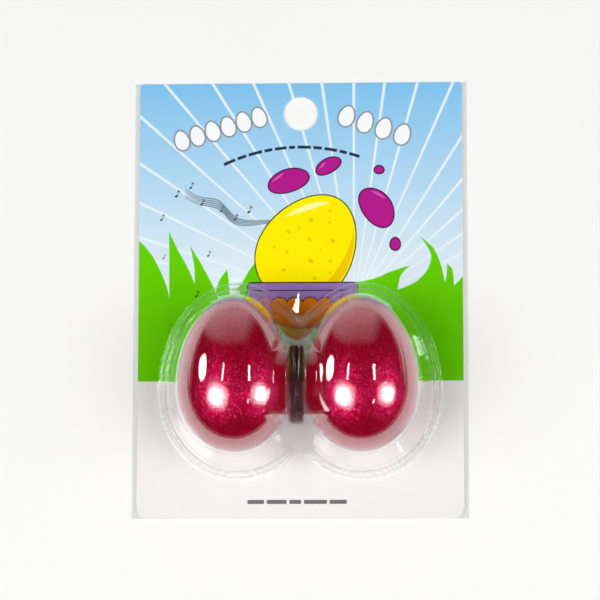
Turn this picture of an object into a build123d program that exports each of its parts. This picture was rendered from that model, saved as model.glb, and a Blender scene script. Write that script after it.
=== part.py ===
from build123d import *
import math
import os

# ---------------------------------------------------------------------------
# Twin pack of egg shakers: a backing card in a clear slide blister, with two
# sealed egg shakers lying under its domes and loose steel shot in each egg.
#
# Frame: the pack lies on its back.  +Z is up, out of the front of the card,
# +Y runs to the hang-hole end, +X to the right.  The origin is the centre of
# the back, on the plane it rests on.  All sizes are in millimetres.
# ---------------------------------------------------------------------------

# backing card
card_w = 122.0
card_h = 165.0
card_t = 0.50
card_bottom_r = 4.5
card_top_r = 0.8
hang_y = 70.6
hang_r = 6.4

# clear film: front sheet, folded edges and return strips behind the card
film_t = 0.35
film_w = 125.4
film_h = card_h
film_hole_r = 7.2
film_hole_depth = 10.0
return_w = 7.0
return_cut = 1.6 * film_t  # height of the cut that parts the return strips
fold_r = 0.62
fold_inner_r = fold_r - film_t + 0.02
slide_gap = 0.05

# egg shaker: two half-ellipses share the widest circle
egg_r = 21.0
egg_pointed = 33.5
egg_blunt = 23.5
egg_wall = 2.2
egg_spacing = 46.6
egg_equator_y = -36.0
egg_float = 0.25  # gap between card and egg
inner_r = egg_r - egg_wall
inner_pointed = egg_pointed - egg_wall
inner_blunt = egg_blunt - egg_wall

# shell joint: a tongue on the blunt half sits in a rebate of the pointed half
tongue_r = 19.9
tongue_h = 1.5
tongue_gap = 0.05
tongue_end_gap = 0.10
rebate_r = tongue_r + tongue_gap
rebate_h = tongue_h + tongue_end_gap
seam_chamfer = 0.12

# domes of the film; the foot is offset from the egg's outline
dome_clear = 1.0
foot_offset = 8.2
ledge_w = 2.4
step_h = 2.0

# bridge between the domes: two crests with a valley between them
bridge_top = 38.8
bridge_half_w = 11.5
bridge_edge_drop = 0.6
crest_x = 6.0
shoulder_x = 3.3
shoulder_drop = 2.2
valley_x = 1.3
valley_z = 27.0
bridge_round = 1.1
bridge_half_len = 11.5
draft_blunt_end = 10.0  # spread of the -Y end, from top to floor
draft_pointed_end = 15.0  # spread of the +Y end
bridge_spare = 1.0  # overrun of the profile and its trimming block
bridge_trim_w = 40.0

# steel shot: balls per row, from the blunt end to the pointed end
shot_r = 2.0
shot_pitch = 4.3
shot_wall_gap = 0.06
shot_rows = [3, 5, 5, 5, 5, 5, 5, 5, 3]
first_row = -3  # place of the first row, in pitches from the widest circle

# heights that follow from the stack of sheets
card_z = film_t + slide_gap
sheet_z = card_z + card_t + slide_gap
sheet_top = sheet_z + film_t
egg_z = card_z + card_t + egg_float + egg_r

# ratio of handle length to radius for a quarter ellipse as one cubic
quarter_handle = 0.5522848


def save(part, name):
    part.label = name
    export_step(part, "parts/" + name + ".step")


def egg_plane(side, height=egg_z):
    """Level plane centred on an egg's widest circle: x radial, y to the pointed end."""
    return Plane(
        origin=(side * egg_spacing / 2, egg_equator_y, height),
        x_dir=(1, 0, 0),
        z_dir=(0, 0, 1),
    )


def egg_axis(side):
    return Axis((side * egg_spacing / 2, egg_equator_y, egg_z), (0, 1, 0))


# ---------------------------------------------------------------------------
# Curves.  The drawing helpers add to the BuildLine block that is open.
# ---------------------------------------------------------------------------


def quarter_points(x, y):
    """Cubic control points from (x, 0) to (0, y) round an ellipse with those semi-axes."""
    return [(x, 0), (x, quarter_handle * y), (quarter_handle * x, y), (0, y)]


def draw_quarter(x, y):
    """Quarter ellipse between (x, 0) and (0, y), run counterclockwise."""
    points = quarter_points(x, y)
    if x * y < 0:
        points.reverse()
    Bezier(*points)


def draw_sector(radius, tip):
    """Quarter ellipse closed through the centre; tip is negative at the blunt end."""
    draw_quarter(radius, tip)
    corners = [(0, tip), (0, 0), (radius, 0)]
    if tip < 0:
        corners.reverse()
    Polyline(*corners)


def draw_outline(grow):
    """Whole egg outline, grown outwards: four quarters end to end."""
    radius = egg_r + grow
    pointed = egg_pointed + grow
    blunt = egg_blunt + grow
    draw_quarter(radius, pointed)
    draw_quarter(-radius, pointed)
    draw_quarter(-radius, -blunt)
    draw_quarter(radius, -blunt)


def split_above(points, height):
    """The part of a rising cubic that lies above a height (de Casteljau, by bisection)."""
    low, high = 0.0, 1.0
    for _ in range(60):
        t = (low + high) / 2
        rows = [points]
        while len(rows[-1]) > 1:
            rows.append(
                [
                    (start[0] + (end[0] - start[0]) * t, start[1] + (end[1] - start[1]) * t)
                    for start, end in zip(rows[-1], rows[-1][1:])
                ]
            )
        if rows[-1][0][1] < height:
            low = t
        else:
            high = t
    return [row[-1] for row in reversed(rows)]


# ---------------------------------------------------------------------------
# Backing card: a board with a round hang hole; the two corners at the lower
# end are rounded more, as that end leads when the card is slid in.
# ---------------------------------------------------------------------------


def backing_card():
    with BuildPart() as card:
        with BuildSketch(Plane.XY.offset(card_z)):
            Rectangle(card_w, card_h)
            with Locations((0, hang_y)):
                Circle(hang_r, mode=Mode.SUBTRACT)
        extrude(amount=card_t)
        for end, radius in ((0, card_bottom_r), (-1, card_top_r)):
            uprights = card.edges().filter_by(Axis.Z).filter_by(GeomType.LINE)
            fillet(uprights.group_by(Axis.Y)[end], radius)
    return card.part


# ---------------------------------------------------------------------------
# Clear film.  Each raised form is built twice: inset 0 gives its outside and
# inset film_t its inside.
# ---------------------------------------------------------------------------


def dome_body(inset, floor_z):
    """Both domes: half-ellipsoid, drafted skirt down to a ledge, and foot step."""
    grow = dome_clear + film_t - inset
    ledge = foot_offset - ledge_w - inset
    foot = foot_offset - inset
    ledge_z = sheet_top + step_h - inset
    with BuildPart() as body:
        for side in (-1, 1):
            # upper half-ellipsoid, pointed part then blunt part
            for tip in (egg_pointed + grow, -(egg_blunt + grow)):
                with BuildSketch(egg_plane(side)):
                    with BuildLine():
                        draw_sector(egg_r + grow, tip)
                    make_face()
                revolve(axis=egg_axis(side), revolution_arc=-180)
            # drafted skirt
            with BuildSketch(egg_plane(side, ledge_z)):
                with BuildLine():
                    draw_outline(ledge)
                make_face()
            with BuildSketch(egg_plane(side)):
                with BuildLine():
                    draw_outline(grow)
                make_face()
            loft(ruled=True)
            # step round the foot
            with BuildSketch(egg_plane(side, floor_z)):
                with BuildLine():
                    draw_outline(foot)
                make_face()
            extrude(amount=ledge_z - floor_z)
    return body.part


def bridge_body(inset, floor_z):
    """Bridge between the domes: a profile run along Y and trimmed to drafted ends."""
    top = bridge_top - inset
    half_len = bridge_half_len - inset
    with BuildPart() as body:
        with BuildSketch(Plane.XZ.offset(-egg_equator_y)) as profile:
            with BuildLine():
                Polyline(
                    (-bridge_half_w, floor_z),
                    (-bridge_half_w, top - bridge_edge_drop),
                    (-crest_x, top),
                    (-shoulder_x - inset, top - shoulder_drop),
                    (-valley_x - inset, valley_z - inset),
                    (valley_x + inset, valley_z - inset),
                    (shoulder_x + inset, top - shoulder_drop),
                    (crest_x, top),
                    (bridge_half_w, top - bridge_edge_drop),
                    (bridge_half_w, floor_z),
                    close=True,
                )
            make_face()
            # every corner but those on the outer sides
            fillet(
                profile.vertices().filter_by(lambda v: abs(v.X) < crest_x + 2.0),
                bridge_round,
            )
        extrude(amount=bridge_half_len + draft_pointed_end + bridge_spare, both=True)
        # drafted ends
        with BuildSketch(Plane.XY.offset(floor_z)):
            with Locations((0, egg_equator_y + (draft_pointed_end - draft_blunt_end) / 2)):
                Rectangle(bridge_trim_w, 2 * half_len + draft_blunt_end + draft_pointed_end)
        with BuildSketch(Plane.XY.offset(top + bridge_spare)):
            with Locations((0, egg_equator_y)):
                Rectangle(bridge_trim_w, 2 * half_len)
        loft(mode=Mode.INTERSECT)
    return body.part


def clear_blister():
    """One sheet, folded behind the card at its sides, with the domes and bridge formed in it."""
    dome_outside = dome_body(0.0, sheet_z)
    dome_inside = dome_body(film_t, card_z)
    bridge_outside = bridge_body(0.0, sheet_z)
    bridge_inside = bridge_body(film_t, card_z)
    with BuildPart() as blister:
        # channel, open at both Y ends
        with BuildSketch(Plane.XZ.offset(-film_h / 2)):
            with Locations((0, sheet_top / 2)):
                RectangleRounded(film_w, sheet_top, fold_r)
                RectangleRounded(
                    film_w - 2 * film_t,
                    sheet_top - 2 * film_t,
                    fold_inner_r,
                    mode=Mode.SUBTRACT,
                )
            with Locations((0, film_t / 2)):
                Rectangle(film_w - 2 * return_w, return_cut, mode=Mode.SUBTRACT)
        extrude(amount=film_h)
        add(dome_outside)
        add(bridge_outside)
        add(dome_inside, mode=Mode.SUBTRACT)
        add(bridge_inside, mode=Mode.SUBTRACT)
        # bore on the hang hole's centre, placed at the underside of the front sheet
        with Locations(Plane.XY.offset(sheet_z)):
            with Locations((0, hang_y)):
                Hole(film_hole_r, depth=film_hole_depth)
    return blister.part


# ---------------------------------------------------------------------------
# Egg shells: two cups that meet at the widest circle.
# ---------------------------------------------------------------------------


def pointed_shell(side):
    """Cup with the rebate, on the +Y side of the seam."""
    cavity_curve = split_above(quarter_points(inner_r, inner_pointed), rebate_h)
    with BuildPart() as shell:
        with BuildSketch(egg_plane(side)):
            with BuildLine():
                draw_quarter(egg_r, egg_pointed)
                Line((0, egg_pointed), (0, inner_pointed))
                Bezier(*cavity_curve)
                Polyline(cavity_curve[0], (rebate_r, rebate_h), (rebate_r, 0), (egg_r, 0))
            make_face()
        revolve(axis=egg_axis(side))
        circles = shell.edges().filter_by(GeomType.CIRCLE)
        chamfer(circles.sort_by(SortBy.RADIUS)[-1], seam_chamfer)
    return shell.part


def blunt_shell(side):
    """Cup with the tongue, on the -Y side of the seam."""
    with BuildPart() as shell:
        with BuildSketch(egg_plane(side)):
            with BuildLine():
                draw_quarter(egg_r, -egg_blunt)
                Line((egg_r, 0), (tongue_r, 0))
                Line((tongue_r, 0), (tongue_r, tongue_h))
                Line((tongue_r, tongue_h), (inner_r, tongue_h))
                Line((inner_r, tongue_h), (inner_r, 0))
                draw_quarter(inner_r, -inner_blunt)
                Line((0, -inner_blunt), (0, -egg_blunt))
            make_face()
        revolve(axis=egg_axis(side))
        circles = shell.edges().filter_by(GeomType.CIRCLE)
        chamfer(circles.sort_by(SortBy.RADIUS)[-1], seam_chamfer)
    return shell.part


# ---------------------------------------------------------------------------
# Steel shot: loose balls lying along the bottom of each cavity, in rows
# across the egg.
# ---------------------------------------------------------------------------


def wall_gap(radius, y):
    """Distance from a point inside the cavity to its wall, in the egg's own plane."""
    length = inner_pointed if y >= 0 else inner_blunt
    angles = (math.radians(i * 0.05) for i in range(1801))
    return min(
        math.hypot(inner_r * math.cos(angle) - radius, length * math.sin(angle) - abs(y))
        for angle in angles
    )


def row_radius(y):
    """How far from the egg's axis a ball centre in this row can lie."""
    low, high = 0.0, inner_r
    for _ in range(40):
        middle = (low + high) / 2
        if wall_gap(middle, y) > shot_r + shot_wall_gap:
            low = middle
        else:
            high = middle
    return low


def shot_row(side, y, count):
    """One row of balls resting on the cavity wall, y from the widest circle."""
    radius = row_radius(y)
    offsets = [(i - (count - 1) / 2) * shot_pitch for i in range(count)]
    places = [
        (
            side * egg_spacing / 2 + x,
            egg_equator_y + y,
            egg_z - math.sqrt(radius**2 - x**2),
        )
        for x in offsets
    ]
    with BuildPart() as row:
        with Locations(*places):
            Sphere(shot_r)
    return row.part


os.makedirs("parts", exist_ok=True)
save(backing_card(), "backing_card")
save(clear_blister(), "clear_blister")
for side, word in ((-1, "left"), (1, "right")):
    save(pointed_shell(side), word + "_egg_pointed_shell")
    save(blunt_shell(side), word + "_egg_blunt_shell")
    for number, count in enumerate(shot_rows, start=1):
        row_y = (first_row + number - 1) * shot_pitch
        save(shot_row(side, row_y, count), word + "_shot_row_" + str(number))
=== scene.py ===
"""Two plastic eggs under a clear blister film, folded round a printed backing card.

The pack lies face up: X runs across the card, +Y towards the hang hole and +Z out
of the printed face. Shapes are in millimetres; lights and camera are in metres.
"""
import math
import random

import bpy
import numpy as np
from mathutils import Matrix, Vector
from mathutils.geometry import delaunay_2d_cdt, tessellate_polygon


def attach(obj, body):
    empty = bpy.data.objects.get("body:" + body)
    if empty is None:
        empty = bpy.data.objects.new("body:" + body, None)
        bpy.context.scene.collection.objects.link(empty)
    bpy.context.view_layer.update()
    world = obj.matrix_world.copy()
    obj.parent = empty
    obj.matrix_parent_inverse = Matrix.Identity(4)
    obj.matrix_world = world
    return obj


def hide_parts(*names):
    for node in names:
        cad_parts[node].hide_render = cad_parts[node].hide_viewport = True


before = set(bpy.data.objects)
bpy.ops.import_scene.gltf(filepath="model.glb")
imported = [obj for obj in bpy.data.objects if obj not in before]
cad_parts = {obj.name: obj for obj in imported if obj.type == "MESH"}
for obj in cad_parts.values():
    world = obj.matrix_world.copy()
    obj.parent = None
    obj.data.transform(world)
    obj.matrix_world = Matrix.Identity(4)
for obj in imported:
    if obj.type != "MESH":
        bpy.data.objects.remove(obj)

random.seed(7)
MM = 0.001


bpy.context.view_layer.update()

# ---------------------------------------------------------------------------
# driving sizes, in millimetres
# ---------------------------------------------------------------------------
CARD_W, CARD_H = 122.0, 165.0
CARD_TOP_Z = 0.90
HOLE_Y = 70.6
CARD_HOLE_R, FILM_HOLE_R = 6.4, 7.2

FILM_W, FILM_T = 125.4, 0.35
SHEET_TOP_Z = 1.30
SHEET_UNDER_Z = SHEET_TOP_Z - FILM_T
FOLD_R = 0.62  # outer radius of the folds along the film's sides
SHEET_X = FILM_W / 2 - FOLD_R  # where the flat sheet meets a fold
STRIP_X = FILM_W / 2 - 7.0  # cut edge of the strips behind the card

EGG_R, EGG_WALL = 21.0, 2.2
EGG_POINTED, EGG_BLUNT = 33.5, 23.5  # from the seam to each tip
EGG_X, EGG_Y, EGG_Z = 23.3, -36.0, 22.15  # the left egg is at -EGG_X
SEAM_BEVEL = 0.05
TONGUE_R, TONGUE_H = 19.9, 1.5
TONGUE_GAP, TONGUE_END_GAP = 0.05, 0.1

DOME_GAP = 1.35  # film outside the eggs
FOOT, LEDGE = 8.2, 5.8  # spread of the foot and of the skirt at the step
STEP_Z = SHEET_TOP_Z + 2.0


# ---------------------------------------------------------------------------
# mesh helpers
# ---------------------------------------------------------------------------
def make_object(name, points, faces, smooth=True, normals=None):
    """Makes a mesh object from points in millimetres."""
    mesh = bpy.data.meshes.new(name)
    mesh.from_pydata((np.asarray(points, float) * MM).tolist(), [], faces)
    mesh.polygons.foreach_set("use_smooth", [smooth] * len(mesh.polygons))
    mesh.update()
    if normals is not None:
        mesh.normals_split_custom_set_from_vertices(np.asarray(normals, float).tolist())
    obj = bpy.data.objects.new(name, mesh)
    bpy.context.scene.collection.objects.link(obj)
    return obj


def give(obj, material, body=None):
    obj.data.materials.clear()
    obj.data.materials.append(material)
    if body:
        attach(obj, body)


def lathe(name, profile, crisp_rings, centre_x, segments=192):
    """Turns (radius, along) points about an egg's long axis, keeping some rings crisp."""
    points, faces, rings, ring_of = [], [], [], []
    for index, (radius, along) in enumerate(profile):
        start = len(points)
        y = EGG_Y + along
        if radius < 1e-6:
            points.append((centre_x, y, EGG_Z))
        else:
            for k in range(segments):
                a = 2 * math.pi * k / segments
                points.append(
                    (centre_x + radius * math.cos(a), y, EGG_Z + radius * math.sin(a))
                )
        rings.append(range(start, len(points)))
        ring_of += [index] * len(rings[-1])
    for ring, following in zip(rings, rings[1:]):
        for k in range(segments):
            m = (k + 1) % segments
            if len(ring) == 1:
                faces.append((following[k], following[m], ring[0]))
            elif len(following) == 1:
                faces.append((following[0], ring[m], ring[k]))
            else:
                faces.append((following[k], following[m], ring[m], ring[k]))
    obj = make_object(name, points, faces)
    sharp = []
    for edge in obj.data.edges:
        first, second = (ring_of[i] for i in edge.vertices)
        sharp.append(first == second and first in crisp_rings)
    layer = obj.data.attributes.new("sharp_edge", "BOOLEAN", "EDGE")
    layer.data.foreach_set("value", sharp)
    return obj


def loop_area(loop):
    """Signed area, positive when the loop runs anticlockwise."""
    return 0.5 * sum(
        p[0] * loop[(i + 1) % len(loop)][1] - loop[(i + 1) % len(loop)][0] * p[1]
        for i, p in enumerate(loop)
    )


def tessellate(loops, up=True):
    """Points and triangles of an outline with holes, facing up or down."""
    points = [p for loop in loops for p in loop]
    faces = []
    for t in tessellate_polygon([[Vector((p[0], p[1], 0)) for p in loop] for loop in loops]):
        area = loop_area([points[i] for i in t])
        if abs(area) >= 1e-9:
            faces.append(tuple(t) if (area > 0) == up else (t[0], t[2], t[1]))
    return points, faces


def merge_polygons(polygons):
    """Points and triangles of polygons joined with no overlaps, facing up."""
    points, rings = [], []
    for loop in polygons:
        if loop_area(loop) < 0:
            loop = loop[::-1]
        rings.append(list(range(len(points), len(points) + len(loop))))
        points.extend(Vector((p[0], p[1])) for p in loop)
    result = delaunay_2d_cdt(points, [], rings, 1, 1e-4)
    merged, faces = result[0], []
    for triangle in result[2]:
        area = loop_area([merged[i] for i in triangle])
        if abs(area) >= 1e-7:
            faces.append(list(triangle) if area > 0 else list(triangle)[::-1])
    return merged, faces


def circle(centre_x, centre_y, radius_x, count, radius_y=None, turn=0.0):
    radius_y = radius_x if radius_y is None else radius_y
    loop = []
    for k in range(count):
        a = 2 * math.pi * k / count
        loop.append((radius_x * math.cos(a), radius_y * math.sin(a)))
    return placed(loop, centre_x, centre_y, turn)


def placed(points, centre_x, centre_y, angle):
    """Turns points about the origin, then moves them."""
    c, s = math.cos(angle), math.sin(angle)
    return [(centre_x + x * c - y * s, centre_y + x * s + y * c) for x, y in points]


# ---------------------------------------------------------------------------
# shader helpers
# ---------------------------------------------------------------------------
class Shader:
    """Builds the node tree of a material, a world or a light."""

    def __init__(self, owner, clear=True):
        self.owner = owner
        owner.use_nodes = True
        self.tree = owner.node_tree
        if clear:
            self.tree.nodes.clear()

    def new(self, kind, inputs=None, **props):
        node = self.tree.nodes.new(kind)
        for key, value in props.items():
            setattr(node, key, value)
        for key, value in (inputs or {}).items():
            self.put(node, key, value)
        return node

    def put(self, node, key, value):
        """Links a socket or a node's first output, or sets a plain value."""
        socket = node.inputs[key]
        if isinstance(value, bpy.types.Node):
            value = value.outputs[0]
        if isinstance(value, bpy.types.NodeSocket):
            self.tree.links.new(value, socket)
        elif socket.type == "RGBA" and len(value) == 3:
            socket.default_value = (*value, 1.0)
        else:
            socket.default_value = value

    def math(self, operation, a, b=None, c=None, clamp=False):
        inputs = {i: v for i, v in enumerate((a, b, c)) if v is not None}
        return self.new("ShaderNodeMath", inputs, operation=operation, use_clamp=clamp)

    def linear(self, value, gain, offset, clamp=False):
        return self.math("MULTIPLY_ADD", value, gain, offset, clamp)

    def negative(self, value):
        return self.math("MULTIPLY", value, -1.0)

    def rise(self, value, start, span):
        """0 up to start, 1 from start + span, straight between."""
        return self.math("MULTIPLY", self.math("SUBTRACT", value, start), 1 / span, clamp=True)

    def blend(self, factor, low, high):
        """Number between low and high, by factor."""
        rest = self.math("MULTIPLY", low, self.math("SUBTRACT", 1.0, factor))
        return self.math("ADD", rest, self.math("MULTIPLY", factor, high))

    def vector(self, operation, a, b=None, scale=None):
        slots = {0: a, 1: b, "Scale": scale}
        inputs = {key: value for key, value in slots.items() if value is not None}
        return self.new("ShaderNodeVectorMath", inputs, operation=operation)

    def mix(self, factor, a, b):
        """Mixes two colours."""
        node = self.new("ShaderNodeMix", data_type="RGBA", blend_type="MIX")
        for key, value in ((0, factor), (6, a), (7, b)):
            self.put(node, key, value)
        return node.outputs[2]

    def mix_shader(self, factor, a, b):
        return self.new("ShaderNodeMixShader", {0: factor, 1: a, 2: b})

    def ramp(self, factor, stops):
        """Colour ramp through (position, colour) stops."""
        node = self.new("ShaderNodeValToRGB", {0: factor})
        elements = node.color_ramp.elements
        while len(elements) < len(stops):
            elements.new(0.5)
        for element, (position, colour) in zip(elements, stops):
            element.position = position
            element.color = (*colour, 1.0)
        return node

    def noise(self, vector, scale, detail=2.0, rough=0.5):
        return self.new(
            "ShaderNodeTexNoise",
            {"Vector": vector, "Scale": scale, "Detail": detail, "Roughness": rough},
        )

    def cells(self, vector, scale):
        return self.new("ShaderNodeTexVoronoi", {"Vector": vector, "Scale": scale}, feature="F1")

    def bump(self, height, strength, distance):
        return self.new(
            "ShaderNodeBump", {"Height": height, "Strength": strength, "Distance": distance}
        )

    def object_coords(self):
        return self.new("ShaderNodeTexCoord").outputs["Object"]

    def geometry(self, output):
        return self.new("ShaderNodeNewGeometry").outputs[output]

    def ray(self, output):
        return self.new("ShaderNodeLightPath").outputs[output]

    def attribute(self, name):
        return self.new("ShaderNodeAttribute", attribute_name=name).outputs["Fac"]

    def finish(self, surface, output="ShaderNodeOutputMaterial"):
        self.new(output, {"Surface": surface})
        return self.owner


def material_shader(name):
    return Shader(bpy.data.materials.new(name))


def srgb(*channels):
    """Linear colour from 8-bit sRGB channels."""

    def linear(c):
        c = c / 255
        return c / 12.92 if c <= 0.04045 else ((c + 0.055) / 1.055) ** 2.4

    return tuple(linear(c) for c in channels)


# ---------------------------------------------------------------------------
# materials
# ---------------------------------------------------------------------------
def pearl_material():
    """Crimson plastic with flakes under a clear gloss."""
    n = material_shader("pearl_crimson")
    coords = n.object_coords()
    # flakes: each cell tips its own way, and coarser cells vary the tint
    tip_cells = n.cells(coords, scale=4200.0)
    tint_cells = n.cells(coords, scale=2500.0)
    tip = n.vector("SUBTRACT", tip_cells.outputs["Color"], (0.5, 0.5, 0.5))
    tip = n.vector("SCALE", tip, scale=0.47)
    tilted = n.vector("NORMALIZE", n.vector("ADD", n.geometry("Normal"), tip))
    tint = n.ramp(
        n.new("ShaderNodeSeparateColor", {0: tint_cells.outputs["Color"]}),
        [
            (0.0, (0.34, 0.001, 0.040)),
            (0.45, (0.62, 0.003, 0.095)),
            (0.80, (0.90, 0.022, 0.210)),
            (1.0, (1.00, 0.180, 0.440)),
        ],
    )
    flakes = n.new(
        "ShaderNodeBsdfAnisotropic",
        {"Color": tint, "Roughness": 0.38, "Normal": tilted},
        distribution="BECKMANN",
    )
    # the coloured plastic below the flakes, slightly cloudy, with paler specks
    plastic, cloudy, pale = (0.320, 0.0003, 0.0105), (0.235, 0.0002, 0.0060), (0.56, 0.003, 0.040)
    speck_limit, speck_strength = 0.60, 0.40
    cloud = n.noise(coords, scale=70.0, detail=3.0)
    base = n.mix(n.math("MULTIPLY", cloud, 0.5), plastic, cloudy)
    specks = n.math("GREATER_THAN", n.noise(coords, scale=3000.0, detail=1.0), speck_limit)
    base = n.mix(n.math("MULTIPLY", specks, speck_strength), base, pale)
    body = n.new("ShaderNodeBsdfDiffuse", {"Color": base, "Roughness": 0.4})
    flake_share = 0.180
    under = n.mix_shader(flake_share, body, flakes)
    # clear gloss over all, a little orange-peel
    peel = n.bump(n.noise(coords, scale=300.0), strength=0.12, distance=0.0002)
    gloss = n.new(
        "ShaderNodeBsdfAnisotropic",
        {"Color": (1, 1, 1), "Roughness": 0.115, "Normal": peel},
        distribution="BECKMANN",
    )
    fresnel = n.new("ShaderNodeFresnel", {"IOR": 1.54})
    return n.finish(n.mix_shader(fresnel, under, gloss))


def shell_inside_material():
    n = material_shader("shell_inside")
    cloud = n.noise(n.object_coords(), scale=160.0, detail=4.0)
    colour = n.ramp(cloud, [(0.3, (0.34, 0.02, 0.05)), (0.7, (0.26, 0.012, 0.035))])
    return n.finish(
        n.new("ShaderNodeBsdfPrincipled", {"Base Color": colour, "Roughness": 0.45})
    )


def film_material():
    """Clear film, whitened at the folds, with painted shade darkening it down the slot."""
    n = material_shader("clear_film")
    coords = n.object_coords()
    film_ior = 1.62
    ior = n.linear(n.geometry("Backfacing"), gain=1 / film_ior - film_ior, offset=film_ior)
    # gentle waves with a fine grain, calmer in the folds
    wave = n.noise(coords, scale=42.0, detail=1.5, rough=0.4)
    height = n.linear(n.noise(coords, scale=620.0, detail=1.0), gain=0.015, offset=wave)
    fold = n.attribute("fold")
    calm = n.linear(fold, gain=-0.22, offset=0.30, clamp=True)
    bump = n.bump(height, strength=calm, distance=0.0006)
    fresnel = n.new("ShaderNodeFresnel", {"IOR": ior, "Normal": bump})
    fold_rough = n.linear(fold, gain=0.09, offset=0.012)
    rough = n.linear(n.noise(coords, scale=300.0), gain=0.03, offset=fold_rough)
    gloss = n.new(
        "ShaderNodeBsdfAnisotropic", {"Color": (1, 1, 1), "Roughness": rough, "Normal": bump}
    )
    haze = n.new("ShaderNodeBsdfTranslucent", {"Color": (0.9, 0.92, 0.94)})
    # painted shade: camera rays see the film darkened down the strongly curved slot, in place of
    # the dark that the curve turns the view aside into
    dim = n.math("MULTIPLY", n.attribute("dim"), n.ray("Is Camera Ray"))
    tone = n.mix(dim, (0.996, 0.998, 0.999), (0.56, 0.50, 0.51))
    clear = n.new("ShaderNodeBsdfTransparent", {"Color": tone})
    # faint scuffs everywhere, and tight folds stretched white
    scuff_sharpness = 6.0
    scuff = n.math("POWER", n.noise(coords, scale=900.0, detail=4.0, rough=0.7), scuff_sharpness)
    scuff = n.linear(scuff, gain=0.03, offset=0.0005)
    broken = n.linear(n.noise(coords, scale=45.0), gain=0.6, offset=0.45)
    scuff = n.linear(n.math("MULTIPLY", fold, broken), gain=0.62, offset=scuff, clamp=True)
    seen = n.mix_shader(fresnel, n.mix_shader(scuff, clear, haze), gloss)
    # light on its way to what lies behind is lost only at a slant
    passed = n.linear(fresnel, gain=-0.6, offset=1.05, clamp=True)
    through = n.new("ShaderNodeBsdfTransparent", {"Color": passed})
    return n.finish(n.mix_shader(n.ray("Is Shadow Ray"), seen, through))


def board(n, coords):
    """Fibre and faint mottling of coated board: a factor near 1 and a bump."""
    mottle = n.noise(coords, scale=55.0, detail=3.0)
    fibre = n.noise(coords, scale=2300.0, detail=3.0, rough=0.65)
    factor = n.linear(mottle, gain=0.05, offset=n.linear(fibre, gain=0.07, offset=0.94))
    return factor, n.bump(fibre, strength=0.08, distance=0.00006)


def finish_print(n, colour, factor, bump):
    inputs = {
        "Base Color": n.vector("SCALE", colour, scale=factor),
        "Roughness": 0.42,
        "Normal": bump,
        "Specular IOR Level": 0.12,
    }
    return n.finish(n.new("ShaderNodeBsdfPrincipled", inputs))


def ink_material(name, first, second, cloud_scale=30.0):
    """Ink clouded between two sRGB colours, with a faint dot screen."""
    n = material_shader(name)
    coords = n.object_coords()
    factor, bump = board(n, coords)
    colour = n.mix(n.noise(coords, cloud_scale), srgb(*first), srgb(*second))
    dot_radius = 0.28
    dots = n.math("LESS_THAN", n.cells(coords, scale=3200.0), dot_radius)
    return finish_print(n, colour, n.linear(dots, gain=0.03, offset=factor), bump)


def sky_material():
    """Pale near the grass, blue towards the top of the card."""
    n = material_shader("print_sky_ink")
    coords = n.object_coords()
    split = n.new("ShaderNodeSeparateXYZ", {0: coords})
    height = n.new(
        "ShaderNodeMapRange",
        {
            "Value": split.outputs[1],
            "From Min": -0.010,
            "From Max": 0.0825,
            "To Min": 0.0,
            "To Max": 1.0,
        },
    )
    colour = n.ramp(
        height,
        [
            (0.0, srgb(240, 247, 249)),
            (0.30, srgb(216, 233, 242)),
            (0.62, srgb(182, 219, 243)),
            (1.0, srgb(135, 201, 239)),
        ],
    )
    return finish_print(n, colour, *board(n, coords))


def steel_material():
    n = material_shader("shot_steel")
    coords = n.object_coords()
    tone = n.noise(coords, scale=420.0, detail=3.0)
    inputs = {
        "Base Color": n.ramp(tone, [(0.3, (0.46, 0.47, 0.49)), (0.7, (0.66, 0.66, 0.67))]),
        "Metallic": 1.0,
        "Roughness": n.linear(n.noise(coords, scale=900.0), gain=0.25, offset=0.16),
    }
    return n.finish(n.new("ShaderNodeBsdfPrincipled", inputs))


def floor_material():
    """White table; reflections see it brighter, and dark beyond a short way."""
    n = material_shader("table_white")
    mottle = n.noise(n.object_coords(), scale=6.0, detail=3.0)
    colour = n.ramp(mottle, [(0.35, (0.505, 0.505, 0.500)), (0.65, (0.520, 0.520, 0.515))])
    mirrored = n.ray("Is Glossy Ray")
    table = n.new(
        "ShaderNodeBsdfPrincipled",
        {
            "Base Color": colour,
            "Roughness": 0.7,
            "Specular IOR Level": 0.1,
            "Emission Color": (1.0, 1.0, 0.99),
            "Emission Strength": n.linear(mirrored, gain=0.30, offset=0.425),
        },
    )
    # the lit part is a disc on the table, open towards +Y; metres
    lit_centre, lit_radius, lit_fade = (-0.065, -0.036, 0.0), 0.290, 0.035
    open_y, open_fade = 0.13, 0.09
    position = n.geometry("Position")
    apart = n.vector("DISTANCE", position, lit_centre).outputs["Value"]
    past = n.rise(apart, lit_radius, lit_fade)
    y = n.new("ShaderNodeSeparateXYZ", {0: position}).outputs[1]
    past = n.math("MULTIPLY", past, n.rise(open_y, y, open_fade))
    dark = n.new("ShaderNodeEmission", {"Color": (1.0, 1.0, 1.0), "Strength": 0.012})
    return n.finish(n.mix_shader(n.math("MULTIPLY", past, mirrored), table, dark))


# ---------------------------------------------------------------------------
# clear film: the domes, bridge and foot as one smooth skin, from a distance
# field that is negative inside
# ---------------------------------------------------------------------------
BRIDGE_TOP = 38.8
BRIDGE_HALF_X, BRIDGE_HALF_Y = 13.0, 11.5  # half sizes, the second at its top
# the sloping ends: run along y, rise along z, and the length of the two
LOW_END = (-37.5, 10.0, 38.81)
HIGH_END = (37.5, 15.0, 40.39)
GROOVE_FLOOR, GROOVE_RISE, GROOVE_R = 26.6, 2.6, 2.2
GROOVE_OPENING = 0.075  # widening of each side per millimetre of height
GRADIENT_STEP = 0.02
BEND_REACH = 0.30  # how far to each side the bend is measured
BEND_START, BEND_SPAN = 0.40, 0.60  # bend at which whitening starts and its range


def smooth_min(a, b, reach):
    h = np.maximum(reach - np.abs(a - b), 0) / reach
    return np.minimum(a, b) - h * h * reach * 0.25


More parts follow.
